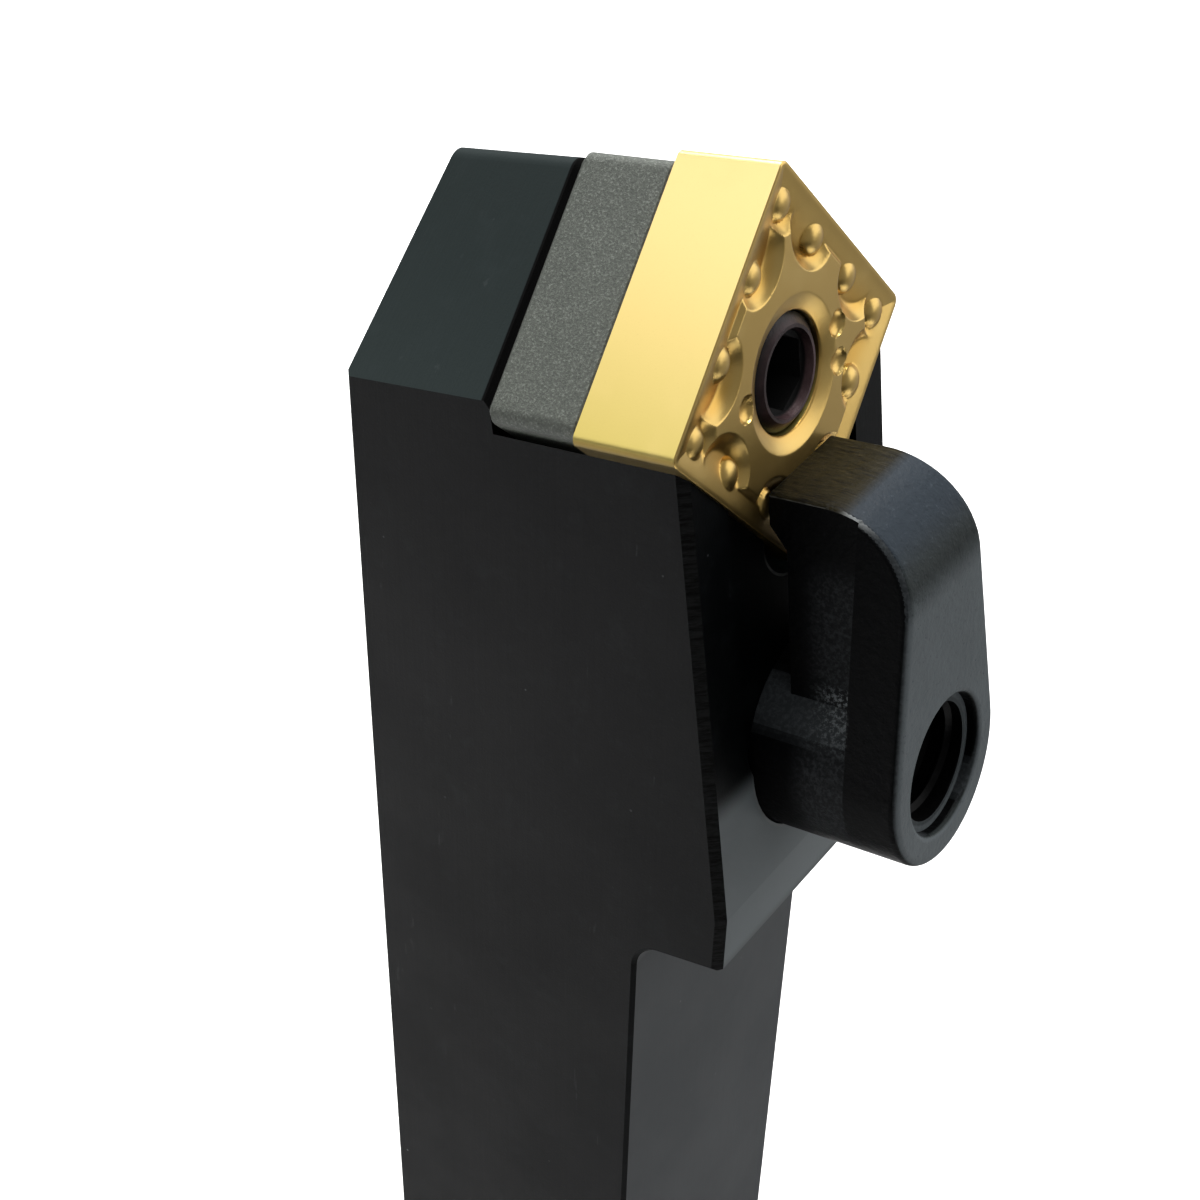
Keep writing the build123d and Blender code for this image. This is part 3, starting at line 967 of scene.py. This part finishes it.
@dataclass(frozen=True)
class CastClamp:
    """Cast and black-oxidised steel of the clamp, with a ground front. Painted light: a lit top and
    arc, a gleam on the boss and highlights along the edges; painted shade: the arc's far end, the
    front's near side and the bore; the front's olive brown is partly a painted reflection of the
    gold insert. Millimetres.
    """

    body: Colour = (0.0006, 0.0008, 0.0011)
    # Painted light: the top and the arc are painted lit and bluish, as from a reflected sky; the
    # arc's far end is painted in shade.
    lit: Colour = (0.124, 0.141, 0.149)
    arc: Colour = (0.026, 0.033, 0.041)
    shaded_arc: Colour = (0.026, 0.031, 0.031)
    web: Colour = (0.020, 0.022, 0.024)
    # Painted highlight: a grainy gleam across the boss below the flange.
    boss_painted_gleam: Coat = Coat((0.15, 0.165, 0.17), 0.85)
    frosted: Coat = Coat(tint(104, 112, 120), 0.25)
    pitted: Coat = Coat(tint(14, 16, 20), 0.5)
    # Painted highlights along the rounded edge between the near side and the top, brightest near
    # the front.
    edge: Colour = tint(112, 118, 122)
    front_edge_painted_highlight: Coat = Coat(tint(170, 174, 174), 0.6)
    # The ground front's dark steel, tinted olive brown as a painted reflection of the gold insert.
    ground: Colour = (0.013, 0.0105, 0.0036)
    ground_lines: Coat = Coat(tint(110, 100, 74), 0.14)
    # Black: the front's dark grinding lines, with painted shade on its near side and inside the
    # bore.
    black: Colour = (0.0003, 0.0003, 0.0004)
    roughness: float = 0.36
    grain: Pattern = Pattern(0.2, 4.0, 0.72)
    pits: Pattern = Pattern(0.5, 3.0, 0.6)
    cloud: Pattern = Pattern(3.0, 3.0, 0.55)
    streaks: Pattern = Pattern(0.10, 3.0, 0.6, (0.0, 0.0, 25.0), (0.07, 1.0, 1.0))
    grain_depth: float = 0.024
    pit_depth: float = 0.05
    streak_depth: float = 0.03
    top_tilt: Span = (0.55, 0.9)
    top_start: Span = (7.0, 8.8)
    arc_tilt: Span = (0.05, 0.3)
    arc_side: Span = (0.5, 0.3)
    arc_shade: Span = (5.4, 6.9)
    front_tilt: Span = (0.5, 0.8)
    front_height: Span = (3.9, 3.1)
    front_end: Span = (6.6, 6.2)
    edge_from: Span = (0.4, 0.55)
    edge_to: Span = (0.92, 0.8)
    edge_tilt: Span = (0.3, 0.5)
    front_edge_end: Span = (5.2, 4.2)
    far_to_near: Span = (1.6, -1.6)
    side_tilt: Span = (0.8, 0.95)
    web_low: Span = (1.2, 2.8)
    web_high: Span = (4.2, 4.1)
    web_start: Span = (6.4, 8.4)
    band_low: Span = (1.6, 3.4)
    band_high: Span = (4.3, 4.0)
    band_start: Span = (12.5, 13.0)
    band_end: Span = (15.4, 13.6)
    band_top: Span = (0.9, 0.97)
    hole_radius: Span = (3.0, 2.85)
    hole_top: Span = (6.2, 6.0)
    boss_height: Span = (3.2, 1.0)
    boss_start: Span = (11.8, 12.4)

    def make(self, seat: SeatFrame) -> bpy.types.Material:
        """Builds the material.

        Args:
            seat: the seat's axes.

        Returns:
            The material.
        """
        recipe = Recipe(Surface.CLAMP)
        back = recipe.along(seat.back, seat.origin)
        height = recipe.along(seat.out, seat.origin)
        across = recipe.along(seat.across, seat.origin)
        out = recipe.facing(seat.out)
        side = recipe.facing(seat.across).size()
        ahead = recipe.facing(-1.0 * seat.back)
        grain = recipe.noise(self.grain)
        pits = recipe.noise(self.pits)
        cloud = recipe.noise(self.cloud)
        streaks = recipe.noise(self.streaks)
        on_top = out.rise(*self.top_tilt) * back.rise(*self.top_start)
        on_arc = out.rise(*self.arc_tilt) * side.rise(*self.arc_side)
        on_front = ahead.rise(*self.front_tilt) * height.rise(*self.front_height)
        on_front = on_front * back.rise(*self.front_end)
        # The rounded edge that carries the painted highlights.
        on_edge = side.rise(*self.edge_from) * side.rise(*self.edge_to)
        on_edge = on_edge * (out + ahead).rise(*self.edge_tilt)
        in_web = side.rise(*self.side_tilt) * height.rise(*self.web_low)
        in_web = in_web * height.rise(*self.web_high) * back.rise(*self.web_start)
        # Where the boss's painted highlight lies.
        in_band = height.rise(*self.band_low) * height.rise(*self.band_high)
        in_band = in_band * back.rise(*self.band_start) * back.rise(*self.band_end)
        in_band = in_band * (1.0 - out.rise(*self.band_top) * 0.4)
        # Painted shade: the bore inside the clamp is painted black below its mouth.
        in_hole = recipe.from_axis(seat, seat.screw_back).rise(*self.hole_radius)
        in_hole = in_hole * height.rise(*self.hole_top)
        on_boss = height.rise(*self.boss_height) * back.rise(*self.boss_start)
        # Painted shade: the front darkens towards its near side and lower down; the dark lines are
        # its grinding streaks.
        dark_side = (across + height * 0.7).rise(*self.far_to_near) * 0.45
        dark_lines_and_shade = (streaks.rise(0.5, 0.34) * 0.75 + dark_side).at_most(0.9)
        # The arc's painted light, turning to painted shade towards its far end.
        arc = recipe.mix(self.arc, self.shaded_arc, back.rise(*self.arc_shade))
        colour = recipe.blend(
            self.body,
            (arc, on_arc * (0.8 + cloud * 0.3)),
            (self.lit, on_top * (0.75 + cloud * 0.4)),
            (self.web, in_web * (0.3 + grain.rise(0.4, 0.7))),
            (self.boss_painted_gleam, in_band * grain.rise(0.47, 0.62)),
            (self.frosted, grain.rise(0.56, 0.8) * (on_top + on_arc).at_most(1.0)),
            (self.pitted, grain.rise(0.42, 0.27)),
            (self.edge, on_edge * (0.16 + grain.rise(0.4, 0.7) * 0.12)),
            (self.front_edge_painted_highlight, on_edge * back.rise(*self.front_edge_end)),
            (self.ground, on_front),
            (self.ground_lines, on_front * streaks.rise(0.5, 0.8)),
            (self.black, on_front * dark_lines_and_shade),
            (self.black, in_hole),
        )
        rough = self.roughness + grain * 0.14 + cloud * 0.06 + in_hole * 0.3 + on_boss * 0.22
        normal = recipe.relief(
            (pits, self.pit_depth),
            (grain, self.grain_depth),
            (streaks * on_front, self.streak_depth),
        )
        return recipe.finish(
            Base_Color=colour, Metallic=0.0, Roughness=rough, Specular_IOR_Level=0.05, Normal=normal
        )


@dataclass(frozen=True)
class ScrewSteel:
    """Black-oxidised steel of the clamp screw and the thread. Millimetres."""

    body: Colour = (0.0012, 0.0012, 0.0013)
    light: Coat = Coat((0.010, 0.010, 0.011), 0.5)
    cloud: Pattern = Pattern(1.2, 3.0, 0.6)
    grain: Pattern = Pattern(0.1, 2.0, 0.6)
    grain_depth: float = 0.008

    def make(self) -> bpy.types.Material:
        """Builds the material."""
        recipe = Recipe(Surface.SCREW)
        cloud = recipe.noise(self.cloud)
        colour = recipe.blend(self.body, (self.light, cloud.rise(0.45, 0.8)))
        rough = 0.36 + cloud * 0.15
        normal = recipe.relief((recipe.noise(self.grain), self.grain_depth))
        return recipe.finish(
            Base_Color=colour, Metallic=0.0, Roughness=rough, Specular_IOR_Level=0.08, Normal=normal
        )


@dataclass
class Clamp:
    """The finger clamp's looks, and the thread that shows in its hole. Millimetres."""

    thread_low: float = 3.85
    thread_high: float = 5.95
    pitch: float = 1.0
    minor: float = 2.48
    major: float = 2.74
    crest: float = 0.06
    root: float = 0.5
    steps: int = 48
    crease: float = 40.0
    finish: CastClamp = field(default_factory=CastClamp)

    def build_thread(self, seat: SeatFrame) -> bpy.types.Object:
        """Models the visible turns of the left-handed thread.

        Args:
            seat: the seat's axes.

        Returns:
            The finished piece.
        """
        Workbench.clear_selection()
        bpy.ops.mesh.primitive_plane_add(size=1.0)
        piece = Workbench.take("clamp_thread")
        mesh = piece.data
        section = [
            (self.major, -self.root / 2),
            (self.minor, -self.crest / 2),
            (self.minor, self.crest / 2),
            (self.major, self.root / 2),
        ]
        for index, (reach, up) in zip(mesh.polygons[0].vertices, section):
            mesh.vertices[index].co = (reach * MM, 0.0, up * MM)
        turns = (self.thread_high - self.thread_low - self.root) / self.pitch
        whole = int(turns * self.steps)
        Workbench.pick(piece)
        bpy.ops.object.mode_set(mode="EDIT")
        bpy.ops.mesh.select_all(action="SELECT")
        bpy.ops.mesh.spin(
            steps=whole,
            angle=-2 * math.pi * turns,
            center=(0.0, 0.0, 0.0),
            axis=(0.0, 0.0, 1.0),
            use_auto_merge=False,
        )
        bpy.ops.object.mode_set(mode="OBJECT")
        start = self.thread_low + self.root / 2
        for vertex in mesh.vertices:
            step = vertex.index // len(section)
            vertex.co.z += (start + self.pitch * turns * step / whole) * MM
        Workbench.settle(piece, seat.matrix(back=seat.screw_back))
        Workbench.face_outwards(piece)
        Workbench.smooth(piece, self.crease)
        return piece


@dataclass(frozen=True)
class Lamp:
    """A square soft lamp: where it hangs from its target, how bright it looks, its beam. Metres."""

    name: str
    towards: Triple
    target: Triple
    distance: float
    size: float
    brightness: float
    colour: Colour = (1.0, 1.0, 1.0)
    spread: float = 180.0

    def hang(self) -> None:
        """Adds the lamp, aimed at its target."""
        data = bpy.data.lights.new(self.name, "AREA")
        data.shape = "SQUARE"
        data.size = self.size
        data.energy = self.brightness * math.pi * self.size * self.size
        data.color = self.colour
        data.spread = math.radians(self.spread)
        lamp = bpy.data.objects.new(self.name, data)
        bpy.context.scene.collection.objects.link(lamp)
        aim = Vector(self.target)
        place = aim + Vector(self.towards).normalized() * self.distance
        lamp.location = place
        lamp.rotation_euler = (aim - place).to_track_quat("-Z", "Y").to_euler()


@dataclass(frozen=True)
class Card:
    """A grey card beside the tool that only shows in its gloss, dim at -Y, pale at +Y. Metres."""

    name: str
    low: Span
    high: Span
    dim: float
    pale: float
    lift: float = 0.003
    mottle: Pattern = Pattern(80.0, 2.0, 0.5)
    mottle_share: float = 0.1

    def lay(self) -> None:
        """Lays the card on the floor."""
        Workbench.clear_selection()
        (left, near), (right, far) = self.low, self.high
        middle = ((left + right) / 2, (near + far) / 2, self.lift)
        bpy.ops.mesh.primitive_plane_add(size=1.0, location=middle)
        bpy.ops.transform.resize(value=(right - left, far - near, 1.0))
        bpy.ops.object.transform_apply(location=True, rotation=True, scale=True)
        card = Workbench.take(self.name)
        recipe = Recipe(Surface.CARD)
        across = (recipe.along(SIDEWAYS) * MM).rise(near, far)
        mottle = recipe.noise(self.mottle)
        shade = across * (1.0 - self.mottle_share) + mottle * self.mottle_share
        colour = recipe.mix((self.dim,) * 3, (self.pale,) * 3, shade)
        finish = recipe.finish(Base_Color=colour, Roughness=0.95, Specular_IOR_Level=0.1)
        Workbench.coat(card, finish)
        card.visible_camera = False
        card.visible_shadow = False


@dataclass
class Studio:
    """Floor, cards, soft light and the camera. The camera's place is in millimetres."""

    eye: Triple = (40.1424, -58.086, 126.0141)
    look: Triple = (-0.46443, 0.67183, -0.57702)
    right: Triple = (0.81419, 0.58025, 0.02026)
    focal_pixels: float = 1811.6
    frame_pixels: float = 1200.0
    sensor: float = 36.0
    clip: Span = (0.005, 20.0)
    floor_radius: float = 3.0
    floor_dim: Colour = (0.80, 0.80, 0.80)
    floor_pale: Colour = (0.82, 0.82, 0.82)
    floor_mottle: Pattern = Pattern(60.0, 2.0, 0.5)
    sky: float = 0.28
    cards: tuple[Card, ...] = (
        Card("far_card", (-0.12, 0.09), (0.60, 0.62), 0.115, 0.28),
        Card("near_card", (0.01, -0.02), (0.07, 0.09), 0.24, 0.22),
        Card("right_card", (0.15, -0.45), (0.60, 0.09), 0.04, 0.05),
        Card("front_card", (0.04, -0.45), (0.15, -0.02), 0.04, 0.06),
        Card("foot_card", (-0.05, -0.07), (0.0, -0.012), 0.60, 0.50),
    )
    lamps: tuple[Lamp, ...] = (
        Lamp("key_softbox", (-0.64, -0.50, 0.58), HEAD, 0.5, 0.46, 1.22, (1.0, 1.0, 0.98)),
        Lamp("top_softbox", (0.15, -0.1, 1.0), HEAD, 0.7, 0.45, 1.2, (0.97, 0.99, 1.0)),
        Lamp("side_softbox", (0.60, 0.70, 0.30), HEAD, 0.5, 0.42, 1.45),
        Lamp("floor_softbox", (-0.1, 0.1, 1.0), BEHIND, 0.75, 0.5, 8.0, spread=110.0),
    )

    def set_up(self) -> None:
        """Adds the camera, the floor, the cards and the light."""
        self.camera()
        self.floor()
        for card in self.cards:
            card.lay()
        self.light()

    def camera(self) -> None:
        """Adds the camera at the photograph's place."""
        data = bpy.data.cameras.new("camera")
        data.sensor_fit = "HORIZONTAL"
        data.sensor_width = self.sensor
        data.lens = self.sensor * self.focal_pixels / self.frame_pixels
        data.clip_start, data.clip_end = self.clip
        eye = bpy.data.objects.new("camera", data)
        bpy.context.scene.collection.objects.link(eye)
        back = -Vector(self.look).normalized()
        right = Vector(self.right).normalized()
        up = back.cross(right).normalized()
        turn = Matrix((right, up, back)).transposed().to_4x4()
        eye.matrix_world = Matrix.Translation(Vector(self.eye) * MM) @ turn
        bpy.context.scene.camera = eye

    def floor(self) -> None:
        """Adds the pale floor."""
        Workbench.clear_selection()
        bpy.ops.mesh.primitive_circle_add(
            vertices=96, radius=self.floor_radius, fill_type="NGON", location=(0, 0, 0)
        )
        floor = Workbench.take("floor")
        recipe = Recipe(Surface.FLOOR)
        colour = recipe.mix(self.floor_dim, self.floor_pale, recipe.noise(self.floor_mottle))
        finish = recipe.finish(Base_Color=colour, Roughness=0.9, Specular_IOR_Level=0.1)
        Workbench.coat(floor, finish)

    def light(self) -> None:
        """Adds the sky and the lamps."""
        world = bpy.data.worlds.new("soft_room")
        bpy.context.scene.world = world
        world.use_nodes = True
        background = world.node_tree.nodes["Background"]
        background.inputs["Color"].default_value = (1.0, 1.0, 1.0, 1.0)
        background.inputs["Strength"].default_value = self.sky
        for lamp in self.lamps:
            lamp.hang()
        bpy.context.scene.view_settings.view_transform = "Standard"
        bpy.context.scene.view_settings.look = "None"


@dataclass
class ToolHolder:
    """The whole tool: what it is dressed in, and the pieces that are modelled anew."""

    seat: SeatFrame = field(default_factory=SeatFrame)
    insert: Insert = field(default_factory=Insert)
    clamp: Clamp = field(default_factory=Clamp)
    holder_finish: HolderOxide = field(default_factory=HolderOxide)
    shim_finish: BareCarbide = field(default_factory=BareCarbide)
    pin_finish: DarkPinSteel = field(default_factory=DarkPinSteel)
    screw_finish: ScrewSteel = field(default_factory=ScrewSteel)

    def dress(self, node: bpy.types.Object, material: bpy.types.Material) -> None:
        """Gives a CAD node a better material."""
        for slot in node.material_slots:
            slot.material = material

    def build(self, frame: dict[str, Any]) -> None:
        """Builds and dresses the pieces in order.

        Args:
            frame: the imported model.
        """
        nodes = frame["nodes"]
        insert = self.insert.build(self.seat)
        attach(insert, "holder")
        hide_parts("insert")
        log.info("insert: %d faces", len(insert.data.polygons))

        self.dress(nodes["clamp"], self.clamp.finish.make(self.seat))
        thread = self.clamp.build_thread(self.seat)
        screw_material = self.screw_finish.make()
        Workbench.coat(thread, screw_material)
        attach(thread, "clamp")
        log.info("clamp thread: %d faces", len(thread.data.polygons))

        self.dress(nodes["holder_body"], self.holder_finish.make(self.seat))
        self.dress(nodes["shim_seat"], self.shim_finish.make())
        self.dress(nodes["lock_pin"], self.pin_finish.make(self.seat))
        self.dress(nodes["clamp_screw"], screw_material)
        log.info("holder, shim, pin and screw dressed")


def main() -> None:
    """Builds the whole scene."""
    logging.basicConfig(level=logging.INFO, format="%(name)s: %(message)s")
    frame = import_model()
    Studio().set_up()
    ToolHolder().build(frame)


if __name__ == "__main__":
    main()
